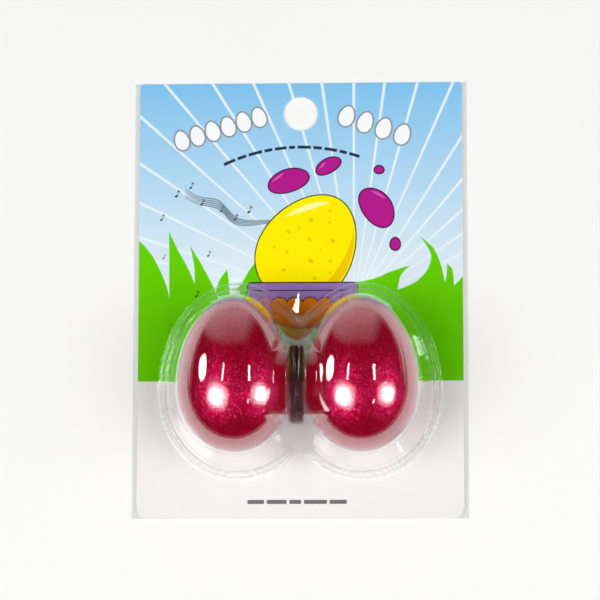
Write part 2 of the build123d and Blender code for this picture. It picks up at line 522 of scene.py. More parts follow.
def smooth_max(a, b, reach):
    return -smooth_min(-a, -b, reach)


def rise(distance, span):
    """0 to 1 over the span."""
    return np.clip(distance / span, 0, 1)


def unit(vectors):
    return vectors / np.linalg.norm(vectors, axis=-1)[:, None]


def egg_distance(u, v, w, grow):
    """Distance outside an egg grown by an amount, to first order; v is its axis."""
    length = np.where(v >= 0, EGG_POINTED, EGG_BLUNT) + grow
    radius = EGG_R + grow
    g = np.sqrt((u / radius) ** 2 + (v / length) ** 2 + (w / radius) ** 2) + 1e-9
    slope = np.sqrt((u / radius**2) ** 2 + (v / length**2) ** 2 + (w / radius**2) ** 2)
    return (g - 1) / (slope / g + 1e-9)


def dome_field(x, y, z, side):
    u = x - side * EGG_X
    v = y - EGG_Y
    w = z - EGG_Z
    top = egg_distance(u, v, w, DOME_GAP)
    # drafted skirt below the widest level
    depth = np.clip((EGG_Z - z) / (EGG_Z - STEP_Z), 0, 1.3)
    skirt = egg_distance(u, v, 0.0, 0.0) - (DOME_GAP + (LEDGE - DOME_GAP) * depth)
    skirt = skirt * 0.975  # for the slope of the draft
    body = np.where(w >= 0, top, skirt)
    foot = smooth_max(egg_distance(u, v, 0.0, FOOT), z - STEP_Z, reach=0.55)
    return smooth_min(body, foot, reach=0.7)


def bridge_field(x, y, z):
    """The block between the domes, notched down its middle."""
    over = z - BRIDGE_TOP
    top = over + 0.0011 * (np.abs(x) - 6.0) ** 2  # slightly crowned
    run, climb, length = LOW_END
    low = ((y - (EGG_Y - BRIDGE_HALF_Y)) * run + over * climb) / length
    run, climb, length = HIGH_END
    high = ((y - (EGG_Y + BRIDGE_HALF_Y)) * run + over * climb) / length
    body = smooth_max(smooth_max(top, low, reach=1.6), high, reach=9.0)
    body = smooth_max(body, np.abs(x) - BRIDGE_HALF_X, reach=1.0)
    # a round-bottomed channel, deepest halfway along, that opens slightly upward
    along = np.clip(np.abs(y - EGG_Y + 0.4) / 12.6, 0, 1.4)
    floor_z = GROOVE_FLOOR + GROOVE_RISE * along**2.4
    over = z - floor_z - GROOVE_R
    width = GROOVE_R + GROOVE_OPENING * np.maximum(over, 0.0)
    groove = np.sqrt(x * x + np.minimum(over, 0.0) ** 2) - width
    return smooth_max(body, -groove, reach=1.1)


def web_height(x, y):
    """Low webs of stretched film that run out of the two corners between the domes."""
    # towards +Y: a straight ridge that falls away to both sides
    ridge = 0.05 * np.clip(4.5 - y, 0, 22)
    high_web = np.maximum(ridge - 0.140 * (np.sqrt(x * x + 0.04) - 0.2), 0.0)
    # towards -Y: a rounded ridge that narrows and fades
    t = rise(-50.5 - y, 9.0)
    width = 1.9 * (1 - t) + 0.6
    low_web = 2.4 * (1 - t) ** 1.3 * np.exp(-((x / width) ** 2))
    return np.where(y > -19.0, high_web, np.where(y < -50.0, low_web, 0.0))


def film_field(p):
    x, y, z = p[..., 0], p[..., 1], p[..., 2]
    field = smooth_min(dome_field(x, y, z, -1), dome_field(x, y, z, 1), reach=2.4)
    # the bridge's +Y end wall runs round into the domes with a wide radius
    open_end = rise(y + 26.0, 6.0) * rise(35.0 - z, 7.0)
    field = smooth_min(field, bridge_field(x, y, z), reach=1.3 + 6.5 * open_end * open_end)
    sheet = (z - SHEET_TOP_Z - web_height(x, y)) * 0.95
    return smooth_min(field, sheet, reach=0.55)


def gradient(p):
    g = np.zeros_like(p)
    for axis in range(3):
        d = np.zeros(3)
        d[axis] = GRADIENT_STEP
        g[..., axis] = (film_field(p + d) - film_field(p - d)) / (2 * GRADIENT_STEP)
    return g


def surface_nets(low, high, step):
    """Points and quads where the film field crosses zero on a cubic grid."""
    axes = [np.arange(low[k], high[k] + step * 0.5, step) for k in range(3)]
    field = film_field(np.stack(np.meshgrid(*axes, indexing="ij"), -1))
    inside = field < 0
    corners = [(i, j, k) for i in (0, 1) for j in (0, 1) for k in (0, 1)]
    size = tuple(s - 1 for s in field.shape)

    def shifted(grid, corner):
        return grid[tuple(slice(c, c + s) for c, s in zip(corner, size))]

    count = sum(shifted(inside, corner).astype(int) for corner in corners)
    cells = np.argwhere((count > 0) & (count < 8))
    places = tuple(cells.T)
    index = -np.ones(size, int)
    index[places] = np.arange(len(cells))
    values = np.stack([shifted(field, corner)[places] for corner in corners], -1)
    # one point in each cut cell, the mean of the crossings on its edges
    total = np.zeros((len(cells), 3))
    hits = np.zeros(len(cells))
    for a in range(8):
        for b in range(a + 1, 8):
            start, end = np.array(corners[a]), np.array(corners[b])
            if np.abs(start - end).sum() != 1:
                continue
            value_a, value_b = values[:, a], values[:, b]
            cross = (value_a < 0) != (value_b < 0)
            t = np.where(cross, value_a / np.where(cross, value_a - value_b, 1.0), 0.0)
            total += np.where(cross[:, None], start + t[:, None] * (end - start), 0.0)
            hits += cross
    points = np.array(low) + (cells + total / hits[:, None]) * step
    # one quad round each cut grid edge
    faces = []
    for axis in range(3):
        b, c = (axis + 1) % 3, (axis + 2) % 3
        edges = np.argwhere(np.diff(inside, axis=axis))
        edges = edges[
            (edges[:, b] > 0)
            & (edges[:, b] < size[b])
            & (edges[:, c] > 0)
            & (edges[:, c] < size[c])
        ]
        leaving = inside[tuple(edges.T)]
        quads = []
        for shift_b, shift_c in ((-1, -1), (0, -1), (0, 0), (-1, 0)):
            cell = edges.copy()
            cell[:, b] += shift_b
            cell[:, c] += shift_c
            quads.append(index[tuple(cell.T)])
        quads = np.stack(quads, -1)
        quads[~leaving] = quads[~leaving][:, ::-1]
        faces.append(quads)
    return points, np.concatenate(faces)


def open_edges(faces):
    edges = np.concatenate([faces[:, [i, (i + 1) % 4]] for i in range(4)])
    _, inverse, counts = np.unique(
        np.sort(edges, 1), axis=0, return_inverse=True, return_counts=True
    )
    return edges[counts[inverse.ravel()] == 1]


def fold_amount(points, normals):
    """How tightly the sheet is bent at each point, from 0 to 1."""
    steep = np.abs(normals[:, 2:3]) < 0.9
    side_a = unit(np.cross(normals, np.where(steep, [[0.0, 0.0, 1.0]], [[1.0, 0.0, 0.0]])))
    side_b = np.cross(normals, side_a)
    bend = np.zeros(len(points))
    for side in (side_a, side_b):
        ahead = unit(gradient(points + BEND_REACH * side))
        behind = unit(gradient(points - BEND_REACH * side))
        bend += ((ahead - behind) * side).sum(-1) / (2 * BEND_REACH)
    # hollow bends whiten less than outward ones
    bend = rise(bend - BEND_START, BEND_SPAN) + 0.70 * rise(-bend - BEND_START, BEND_SPAN)
    # the slot between the domes is drawn clear
    x, y = points[:, 0], points[:, 1]
    slot = rise(8.0 - np.abs(x), 3.0) * rise(y + 62.0, 4.0) * rise(-14.0 - y, 4.0)
    return bend * (1.0 - 0.8 * slot)


def painted_slot_shade_mask(points):
    """Mask of the painted shade: 1 inside the narrow slot between the domes, 0 elsewhere."""
    x, y, z = points.T
    across = rise(3.2 - np.abs(x), 1.2)
    return across * rise(y + 50.5, 4.0) * rise(-19.0 - y, 3.0) * rise(z - 12.0, 6.0)


def straighten_rim(points, normals, faces, low, high):
    """Moves the skin's open rim onto a rectangle in the flat sheet; returns its limits."""
    rim = np.unique(open_edges(faces))
    edge = points[rim]
    edge[:, :2] = np.clip(edge[:, :2], low[:2], high[:2])
    edge[:, 2] = SHEET_TOP_Z
    x, y = edge[:, 0], edge[:, 1]
    limits = (x.min(), x.max(), y.min(), y.max())
    nearest = np.argmin([x - limits[0], limits[1] - x, y - limits[2], limits[3] - y], axis=0)
    for side, limit in enumerate(limits):
        edge[nearest == side, side // 2] = limit
    points[rim] = edge
    normals[rim] = (0, 0, 1)
    return limits


class Parts:
    """Gathers points, normals and faces of several patches."""

    def __init__(self):
        self.points, self.normals, self.faces = [], [], []
        self.count = 0

    def add(self, points, normals, faces, flip=False):
        """normals is one for each point, or a single one for all."""
        points = np.array(points, float)
        self.points.append(points)
        self.normals.append(np.broadcast_to(normals, points.shape))
        for face in faces:
            self.faces.append([i + self.count for i in (face[::-1] if flip else face)])
        self.count += len(points)


def band_faces(count):
    """Quads between two rows of points."""
    return [[i, i + 1, count + i + 1, count + i] for i in range(count - 1)]


def add_flat_sheet(parts, limits, end_y):
    """Both faces of the sheet round the domes, and the wall of the hang hole."""
    x0, x1, y0, y1 = limits
    hole = circle(0, HOLE_Y, FILM_HOLE_R, 96)
    panels = [
        [[(-SHEET_X, y1), (SHEET_X, y1), (SHEET_X, end_y), (-SHEET_X, end_y)], hole],
        [[(-SHEET_X, -end_y), (SHEET_X, -end_y), (SHEET_X, y0), (-SHEET_X, y0)]],
        [[(-SHEET_X, y0), (x0, y0), (x0, y1), (-SHEET_X, y1)]],
        [[(x1, y0), (SHEET_X, y0), (SHEET_X, y1), (x1, y1)]],
    ]
    for z, facing in ((SHEET_TOP_Z, 1), (SHEET_UNDER_Z, -1)):
        for loops in panels:
            points, faces = tessellate(loops, up=facing > 0)
            parts.add([(x, y, z) for x, y in points], (0, 0, facing), faces)
    m = len(hole)
    wall = [(x, y, z) for z in (SHEET_UNDER_Z, SHEET_TOP_Z) for x, y in hole]
    inward = [(-x / FILM_HOLE_R, (HOLE_Y - y) / FILM_HOLE_R, 0) for x, y in hole] * 2
    parts.add(wall, inward, [[i, m + i, m + (i + 1) % m, (i + 1) % m] for i in range(m)])


def fold_profile(radius, facing, end_z):
    """(x, z) points and normals round the fold at +X, then along behind the card."""
    points, normals = [], []
    for centre_z, start in ((SHEET_TOP_Z - FOLD_R, 90), (FOLD_R, 0)):
        for k in range(9):
            a = math.radians(start - 90 * k / 8)
            c, s = math.cos(a), math.sin(a)
            points.append((SHEET_X + radius * c, centre_z + radius * s))
            normals.append((facing * c, facing * s))
    points.append((STRIP_X, end_z))
    normals.append((0, -facing))
    return points, normals


def add_folds(parts, end_y):
    """Folded side edges and the strips behind the card."""
    outer, outer_normals = fold_profile(FOLD_R, 1, 0.0)
    inner, inner_normals = fold_profile(FOLD_R - FILM_T, -1, FILM_T)
    faces = band_faces(len(outer))
    for side in (-1, 1):
        for profile, normals, facing in ((outer, outer_normals, 1), (inner, inner_normals, -1)):
            points = [(side * x, y, z) for y in (-end_y, end_y) for x, z in profile]
            turned = [(side * x, 0, z) for x, z in normals] * 2
            parts.add(points, turned, faces, flip=side * facing > 0)
        # long cut edge of the strip
        tip = side * STRIP_X
        edge = [(tip, -end_y, 0), (tip, end_y, 0), (tip, end_y, FILM_T), (tip, -end_y, FILM_T)]
        parts.add(edge, (-side, 0, 0), [[0, 1, 2, 3]], flip=side < 0)
        # cut ends of the fold
        for end in (-1, 1):
            points = [(side * x, end * end_y, z) for x, z in outer + inner]
            parts.add(points, (0, end, 0), faces, flip=side * end < 0)


def add_sheet_ends(parts, end_y):
    """Cut ends of the front sheet."""
    for end in (-1, 1):
        y = end * end_y
        points = [
            (-SHEET_X, y, SHEET_UNDER_Z), (SHEET_X, y, SHEET_UNDER_Z),
            (SHEET_X, y, SHEET_TOP_Z), (-SHEET_X, y, SHEET_TOP_Z),
        ]
        parts.add(points, (0, end, 0), [[0, 1, 2, 3]], flip=end > 0)


def build_film():
    step = 0.70
    box_low = np.array([-56.0, -71.4, 0.1])
    cells = np.round((np.array([56.0, 10.2, 46.5]) - box_low) / step)
    box_high = box_low + cells * step
    points, faces = surface_nets(box_low, box_high, step)
    # pull the points onto the true surface
    for _ in range(5):
        field = film_field(points)
        g = gradient(points)
        points = points - (field / np.maximum((g * g).sum(-1), 1e-6))[:, None] * g
    normals = unit(gradient(points))
    fold = fold_amount(points, normals)
    # where painted shade darkens the film down the slot between the domes
    dim = painted_slot_shade_mask(points)
    limits = straighten_rim(points, normals, faces, box_low + step, box_high - step)

    end_y = CARD_H / 2
    parts = Parts()
    quads = faces.tolist()
    parts.add(points, normals, quads)
    parts.add(points - normals * FILM_T, -normals, quads, flip=True)
    add_flat_sheet(parts, limits, end_y)
    add_folds(parts, end_y)
    add_sheet_ends(parts, end_y)
    film = make_object(
        "film", np.concatenate(parts.points), parts.faces, normals=np.concatenate(parts.normals)
    )
    # both faces of the skin carry the fold values and the painted slot shade; the flat parts stay
    # at 0
    for name, amount in (("fold", fold), ("dim", dim)):
        values = np.zeros(parts.count)
        values[: 2 * len(points)] = np.tile(amount, 2)
        layer = film.data.attributes.new(name, "FLOAT", "POINT")
        layer.data.foreach_set("value", values)
    give(film, film_material(), "blister")
    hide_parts("clear_blister")
    return film


# ---------------------------------------------------------------------------
# eggs: each half is an outer shell and an inner lining
# ---------------------------------------------------------------------------
INNER_R = EGG_R - EGG_WALL
INNER_POINTED = EGG_POINTED - EGG_WALL
INNER_BLUNT = EGG_BLUNT - EGG_WALL
SEAM_RING = (EGG_R - SEAM_BEVEL, 0.0)


def profile_arc(radius, length, start, end, count):
    """(radius, along) points of a quarter ellipse between two angles in degrees."""
    points = []
    for k in range(count + 1):
        a = math.radians(start + (end - start) * k / count)
        points.append((max(radius * math.cos(a), 0.0), length * math.sin(a)))
    return points


def pointed_profiles():
    """Shell and lining of the +Y half, each with its crisp rings."""
    start = math.degrees(math.asin(SEAM_BEVEL / EGG_POINTED))
    shell = [SEAM_RING] + profile_arc(EGG_R, EGG_POINTED, start, 90, 84)
    rebate_r, rebate_h = TONGUE_R + TONGUE_GAP, TONGUE_H + TONGUE_END_GAP
    end = math.degrees(math.asin(rebate_h / INNER_POINTED))
    inner = profile_arc(INNER_R, INNER_POINTED, 90, end, 40)
    count = len(inner)
    lining = inner + [(rebate_r, rebate_h), (rebate_r, 0.0), SEAM_RING]
    return (shell, [0, 1]), (lining, [count - 1, count, count + 1])


def blunt_profiles():
    """Shell and lining of the -Y half, whose tongue enters the pointed half."""
    end = -math.degrees(math.asin(SEAM_BEVEL / EGG_BLUNT))
    shell = profile_arc(EGG_R, EGG_BLUNT, -90, end, 72) + [SEAM_RING]
    tongue = [SEAM_RING, (TONGUE_R, 0.0), (TONGUE_R, TONGUE_H), (INNER_R, TONGUE_H)]
    lining = tongue + profile_arc(INNER_R, INNER_BLUNT, 0, -90, 36)
    return (shell, [len(shell) - 2, len(shell) - 1]), (lining, [0, 1, 2, 3, 4])


def build_eggs():
    pearl = pearl_material()
    inside = shell_inside_material()
    for side, word in ((-1, "left"), (1, "right")):
        egg = word + "_egg"
        for half, profiles in (("pointed", pointed_profiles()), ("blunt", blunt_profiles())):
            shell, lining = profiles
            body = lathe(f"{egg}_{half}_half", *shell, side * EGG_X)
            liner = lathe(f"{egg}_{half}_lining", *lining, side * EGG_X, 128)
            give(body, pearl, egg)
            give(liner, inside, egg)
            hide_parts(f"{egg}_{half}_shell")


def finish_shot():
    """Gives the CAD's rows of shot their steel."""
    steel = steel_material()
    for name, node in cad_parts.items():
        if "_shot_row_" in name:
            node.data.materials.clear()
            node.data.materials.append(steel)
            for polygon in node.data.polygons:
                polygon.use_smooth = True


# ---------------------------------------------------------------------------
# card: board, then the printed layers, each a hair above the last
# ---------------------------------------------------------------------------
FIRST_LAYER, LAYER_STEP = 0.003, 0.0032
PRINT_INSET = 0.07
PRINT_X = CARD_W / 2 - PRINT_INSET
PRINT_TOP = CARD_H / 2 - PRINT_INSET
PRINT_END = -31.1
CORNER_CUT = 0.8

# two sRGB tones, and the cloud scale where it is not the usual one
INKS = {
    "white": ((236, 245, 249), (229, 241, 248)),
    "grass": ((112, 214, 1), (102, 204, 0), 26.0),
    "badge": ((253, 253, 253), (247, 248, 250)),
    "outline": ((150, 160, 168), (140, 150, 160)),
    "navy": ((44, 62, 84), (36, 54, 78)),
    "black": ((26, 26, 24), (18, 18, 18)),
    "yellow": ((255, 240, 2), (255, 234, 0)),
    "violet": ((160, 128, 190), (150, 118, 182)),
    "orange": ((230, 132, 16), (222, 122, 10)),
    "magenta": ((188, 34, 150), (178, 28, 140)),
    "amber": ((244, 208, 0), (238, 198, 0)),
    "cream": ((255, 250, 176), (255, 248, 160)),
    "pink": ((214, 104, 196), (206, 92, 188)),
    "slate": ((104, 120, 134), (92, 110, 126)),
    "bar": ((120, 120, 122), (112, 112, 114)),
}


def add_print(name, shape, layer, material):
    """Makes a printed layer from flat points and faces."""
    points, faces = shape
    z = CARD_TOP_Z + FIRST_LAYER + LAYER_STEP * layer
    obj = make_object("print_" + name, [(p[0], p[1], z) for p in points], faces, smooth=False)
    give(obj, material, "card")


def printed(name, polygons, layer, ink):
    add_print(name, merge_polygons(polygons), layer, ink)


# outline helpers -----------------------------------------------------------
def curve(points, count=10):
    """Smooth line through points, keeping the ends."""
    line = []
    padded = [points[0]] + list(points) + [points[-1]]
    for i in range(1, len(padded) - 2):
        spans = list(zip(padded[i - 1], padded[i], padded[i + 1], padded[i + 2]))
        for k in range(count):
            t = k / count
            line.append(
                tuple(
                    0.5
                    * (
                        2 * b
                        + (c - a) * t
                        + (2 * a - 5 * b + 4 * c - d) * t * t
                        + (3 * b - a - 3 * c + d) * t**3
                    )
                    for a, b, c, d in spans
                )
            )
    line.append(points[-1])
    return line


def grown(points, amount):
    """Moves each point of a loop outward."""
    sign = 1 if loop_area(points) > 0 else -1
    loop = []
    for i, here in enumerate(points):
        before, after = points[i - 1], points[(i + 1) % len(points)]
        a = (here[0] - before[0], here[1] - before[1])
        b = (after[0] - here[0], after[1] - here[1])
        length_a, length_b = math.hypot(*a) or 1, math.hypot(*b) or 1
        out_x = (a[1] / length_a + b[1] / length_b) * sign
        out_y = (-a[0] / length_a - b[0] / length_b) * sign
        length = math.hypot(out_x, out_y) or 1
        loop.append((here[0] + out_x / length * amount, here[1] + out_y / length * amount))
    return loop


def ribbon(points, width):
    """Band along a line; width is a function of the way along, 0 to 1."""
    left, right = [], []
    last = len(points) - 1
    for i, (x, y) in enumerate(points):
        before, after = points[max(i - 1, 0)], points[min(i + 1, last)]
        dx, dy = after[0] - before[0], after[1] - before[1]
        length = math.hypot(dx, dy) or 1
        w = width(i / last)
        left.append((x - dy / length * w / 2, y + dx / length * w / 2))
        right.append((x + dy / length * w / 2, y - dx / length * w / 2))
    return left + right[::-1]


def ellipse_arc(centre, radii, start, end, count):
    """Points between two angles in degrees."""
    points = []
    for k in range(count + 1):
        a = math.radians(start + (end - start) * k / count)
        points.append((centre[0] + radii[0] * math.cos(a), centre[1] + radii[1] * math.sin(a)))
    return points


def rounded_bar(width, height, radius, count=6):
    """Rounded bar centred on the origin."""
    x, y = width / 2 - radius, height / 2 - radius
    loop = []
    for centre, start in (((x, y), 0), ((-x, y), 90), ((-x, -y), 180), ((x, -y), 270)):
        loop += ellipse_arc(centre, (radius, radius), start, start + 90, count)
    return loop


def egg_loop(radius_x, radius_y, taper=0.13, count=72):
    loop = []
    for k in range(count):
        a = 2 * math.pi * k / count
        loop.append((radius_x * math.cos(a) * (1 - taper * math.sin(a)), radius_y * math.sin(a)))
    return loop


def crescent(radius_x, radius_y, start, end, depth, taper=0.13):
    """A thin moon just inside an egg loop, between two angles."""
    count = 28
    outer, back = [], []
    for k in range(count + 1):
        t = k / count
        a = math.radians(start + (end - start) * t)
        inset = depth * math.sin(math.pi * t)
        x, y = math.cos(a) * (1 - taper * math.sin(a)), math.sin(a)
        outer.append((radius_x * x, radius_y * y))
        back.append(((radius_x - inset) * x, (radius_y - inset) * y))
    return outer + back[::-1][1:-1]


# sky and rays --------------------------------------------------------------
RAY_FOCUS = (20.0, -3.2)
RAY_START_W, RAY_END_W = 1.12, 0.50
RAY_REACH = 0.96  # share of the way to the focus
RAY_STRIPS = 6
RAY_STARTS = (
    [(x, 83.0) for x in (-52.1, -33.8, -18.2, -4.7, 7.9, 20.1, 31.9, 44.4, 57.9)]
    + [(61.4, y) for y in (62.4, 45.7, 33.9, 24.8, 17.3, 10.8)]
    + [(-61.4, y) for y in (70.5, 52.2, 37.1, 23.8, 16.0, 7.2)]
)


def print_sky():
    x, y = PRINT_X - CORNER_CUT, PRINT_TOP - CORNER_CUT
    outline = [
        (-PRINT_X, PRINT_END), (PRINT_X, PRINT_END), (PRINT_X, y),
        (x, PRINT_TOP), (-x, PRINT_TOP), (-PRINT_X, y),
    ]
    hole = circle(0, HOLE_Y, CARD_HOLE_R + 0.02, 128)
    add_print("sky", tessellate([outline, hole]), 0, sky_material())


def ray_polygons(start):
    """A tapering ray as narrow strips, each split where the hang hole cuts it."""
    start_x, start_y = start
    dx, dy = RAY_FOCUS[0] - start_x, RAY_FOCUS[1] - start_y
    length = math.hypot(dx, dy)
    dx, dy = dx / length, dy / length
    side_x, side_y = -dy, dx
    total = length * RAY_REACH
    quads = []
    for strip in range(RAY_STRIPS):
        low = -0.5 + strip / RAY_STRIPS
        high = low + 1 / RAY_STRIPS
        middle = (low + high) / 2
        # where this strip meets the hole
        from_x = start_x + side_x * middle * RAY_START_W
        from_y = start_y + side_y * middle * RAY_START_W - HOLE_Y
        b = from_x * dx + from_y * dy
        c = from_x**2 + from_y**2 - (CARD_HOLE_R + 0.05) ** 2
        spans = [(0.0, total)]
        if b * b - c > 0:
            half = math.sqrt(b * b - c)
            enter, leave = -b - half, -b + half
            if leave > 0 and enter < total:
                spans = [(0.0, max(enter, 0.0)), (min(leave, total), total)]
        for t0, t1 in spans:
            if t1 - t0 < 0.05:
                continue
            quad = []
            for t, across in ((t0, low), (t1, low), (t1, high), (t0, high)):
                offset = across * (RAY_START_W + (RAY_END_W - RAY_START_W) * t / total)
                x = start_x + dx * t + side_x * offset
                quad.append((x, start_y + dy * t + side_y * offset))
            quads.append(quad)
    return quads


def clip_to_print(polygon):
    """Keeps a convex polygon inside the printed rectangle; None if nothing is left."""
    for axis, limit, sign in (
        (0, PRINT_X, 1), (0, -PRINT_X, -1), (1, PRINT_TOP, 1), (1, PRINT_END, -1)
    ):
        kept = []
        for i, p in enumerate(polygon):
            q = polygon[(i + 1) % len(polygon)]
            p_inside = sign * (p[axis] - limit) <= 0
            q_inside = sign * (q[axis] - limit) <= 0
            if p_inside:
                kept.append(p)
            if p_inside != q_inside:
                t = (limit - p[axis]) / (q[axis] - p[axis])
                kept.append((p[0] + (q[0] - p[0]) * t, p[1] + (q[1] - p[1]) * t))
        polygon = kept
        if len(polygon) < 3:
            return None
    return polygon


def print_rays(inks):
    clipped = [clip_to_print(quad) for start in RAY_STARTS for quad in ray_polygons(start)]
    printed("rays", [quad for quad in clipped if quad], 1, inks["white"])


# grass ---------------------------------------------------------------------
# top line of the ground, left to right
GROUND = [
    (-PRINT_X, -2.0), (-48.0, -3.0), (-36.0, -3.5), (-26.0, 3.0), (-14.0, 8.0), (-4.0, 5.0),
    (8.0, 3.0), (18.0, 5.4), (28.0, 6.6), (36.0, 2.6), (46.0, 3.4), (54.0, 4.0), (PRINT_X, 4.6),
]
# long blades, left to right: straight corner points, then runs of a smooth line
BLADES = [
    (
        [(-PRINT_X, -6.0), (-49.0, -6.0)],
        [(-49.2, -1.2), (-50.0, 3.6), (-53.0, 11.2), (-56.8, 17.8), (-PRINT_X, 22.4)],
    ),
    (
        [(-49.4, -6.0), (-39.0, -6.0)],
        [(-39.2, 4.4), (-42.4, 11.8), (-46.3, 18.8), (-49.6, 25.8)],
        [(-49.3, 0.0)],
    ),
    (
        [(-40.2, -6.0), (-31.8, -6.0)],
        [(-32.0, 3.2), (-34.8, 8.6), (-37.9, 14.2), (-41.7, 20.4)],
        [(-41.7, 20.4), (-40.0, 12.4), (-39.8, 4.6)],
    ),
    (
        [(-31.8, -3.0), (-26.6, -3.0)],
        [(-26.8, 4.0), (-27.1, 8.0), (-27.7, 11.2)],
        [(-27.7, 11.2), (-30.3, 7.4), (-31.8, 3.2)],
    ),
    (
        [(-26.8, 0.0), (-10.0, 0.0), (-10.0, 9.0)],
        [(-13.8, 14.6), (-15.4, 15.4), (-19.0, 11.2), (-22.8, 5.0), (-26.6, 2.6)],
    ),
    (
        [(18.0, 0.0), (36.8, 0.0)],
        [(36.4, 3.2), (37.6, 8.4), (41.0, 12.4)],
        [(41.0, 12.4), (33.6, 10.0), (28.0, 7.6), (18.6, 5.6)],
    ),
    (
        [(35.8, 0.0), (54.4, 0.0)],
        [(54.3, 5.6), (52.6, 12.8), (50.0, 18.8), (45.0, 23.4)],
        [(45.0, 23.4), (48.9, 16.8), (47.7, 11.0), (43.0, 6.0), (36.0, 3.0)],
    ),
    (
        [(53.6, 0.0), (57.8, 0.0)],
        [(57.6, 4.6), (57.0, 10.6), (55.0, 13.0)],
        [(55.0, 13.0), (54.8, 8.8), (54.0, 4.6)],
    ),
    ([(57.0, 0.0), (PRINT_X, 0.0), (PRINT_X, 8.2), (57.4, 4.4)],),
]


def print_grass(inks):
    grass = [[(-PRINT_X, PRINT_END), (PRINT_X, PRINT_END)] + curve(GROUND, 8)[::-1]]
    for corners, *runs in BLADES:
        blade = list(corners)
        for run in runs:
            blade += curve(run) if len(run) > 1 else run
        grass.append(blade)
    printed("grass", grass, 2, inks["grass"])


# small shapes --------------------------------------------------------------
# first and last centre, how many, and the radii of one badge
BADGE_ROWS = (
    ((-45.0, 60.6), (-15.8, 69.4), 6, (2.55, 3.7)),
    ((17.4, 69.6), (38.4, 62.4), 4, (2.75, 3.9)),
)
DASH_LENGTHS = (4.6, 3.4, 5.2, 3.0, 4.4, 2.2, 5.0, 3.2, 4.8, 2.8, 4.0)
DASH_CENTRE, DASH_R, DASH_WIDTH = (0.0, -9.5), 67.3, 1.15
DASH_START, DASH_GAP = 115.5, 0.85  # degrees
BAR_WIDTHS = (6.2, 7.4, 4.4, 8.6, 6.4)
BAR_START, BAR_Y, BAR_HEIGHT, BAR_GAP = -19.6, -76.3, 1.5, 1.0


def print_badges(inks):
    """Plain egg-shaped badges in two slanted rows."""
    outlines, badges = [], []
    for (x0, y0), (x1, y1), count, radii in BADGE_ROWS:
        slope = math.atan2(y1 - y0, x1 - x0)
        egg = egg_loop(*radii, 0.12, 48)
        for k in range(count):
            t = k / (count - 1)
            x = x0 + (x1 - x0) * t
            y = y0 + (y1 - y0) * t
            outlines.append(placed(grown(egg, 0.62), x, y, slope))
            badges.append(placed(egg, x, y, slope))
    printed("badge_outline", outlines, 3, inks["outline"])
    printed("badge_face", badges, 4, inks["badge"])


def print_dashes(inks):
    """Arc of short dashes under the badges."""
    dashes = []
    angle = DASH_START
    for length in DASH_LENGTHS:
        end = angle - math.degrees(length / DASH_R)
        line = ellipse_arc(DASH_CENTRE, (DASH_R, DASH_R), angle, end, 6)
        dashes.append(ribbon(line, lambda t: DASH_WIDTH))
        angle = end - DASH_GAP
    printed("dash_arc", dashes, 3, inks["navy"])


def print_bars(inks):
    """Plain row of grey bars near the -Y end."""
    bars = []
    x = BAR_START
    for width in BAR_WIDTHS:
        bars.append(placed(rounded_bar(width, BAR_HEIGHT, 0.3), x + width / 2, BAR_Y, 0))
        x = x + width + BAR_GAP
    printed("bars", bars, 3, inks["bar"])


# egg standing in a plain bowl, rounded stones round it ---------------------
EGG_ART = (2.8, 19.2, -0.58)  # centre x, y and turn
BOWL_CENTRE, BOWL_RADII, BAND_INSET = (0.8, 3.6), (19.4, 14.6), 0.7
RIM_Y, LOBE_COUNT = 4.6, 6
OUTLINE, THIN_OUTLINE = 0.42, 0.36
# x and y in the drawn egg's own frame, radius
EGG_DOTS = (
    (-5.0, 9.5, 0.9), (1.5, 12.6, 0.7), (6.4, 7.4, 1.0), (-1.2, 3.0, 0.8), (-9.4, 1.2, 0.8),
    (9.8, 0.4, 0.7), (3.6, -3.6, 1.0), (-5.8, -5.6, 0.7), (8.4, -8.2, 0.8), (-0.8, 16.4, 0.6),
    (-10.8, -6.6, 0.6), (-3.0, -12.0, 0.8), (12.2, -3.6, 0.6), (4.4, 2.2, 0.5), (-6.8, 4.4, 0.5),
)
# centre x, y, the two radii, turn
STONES = (
    (-4.6, 45.0, 7.8, 4.2, 0.30),
    (10.4, 50.6, 5.0, 2.6, 0.5),
    (28.8, 34.6, 8.2, 5.4, -0.95),
    (29.6, 49.0, 1.7, 1.4, 0.0),
    (35.6, 20.6, 1.8, 2.3, 0.0),
)


def bowl_band():
    """Band round the lower bowl with a row of lobes along its top."""
    radii = [radius - BAND_INSET for radius in BOWL_RADII]
    band = ellipse_arc(BOWL_CENTRE, radii, 202, 338, 24)
    right_x, top_y = band[-1]
    width = band[0][0] - right_x
    lobes = []
    for j in range(LOBE_COUNT):
        start = right_x + width * j / LOBE_COUNT
        end = right_x + width * (j + 1) / LOBE_COUNT
        for k in range(1, 9):
            a = math.pi * k / 8
            x = (start + end) / 2 + (start - end) / 2 * math.cos(a)
            lobes.append((x, top_y - 0.4 + 2.4 * math.sin(a)))
    return band + lobes


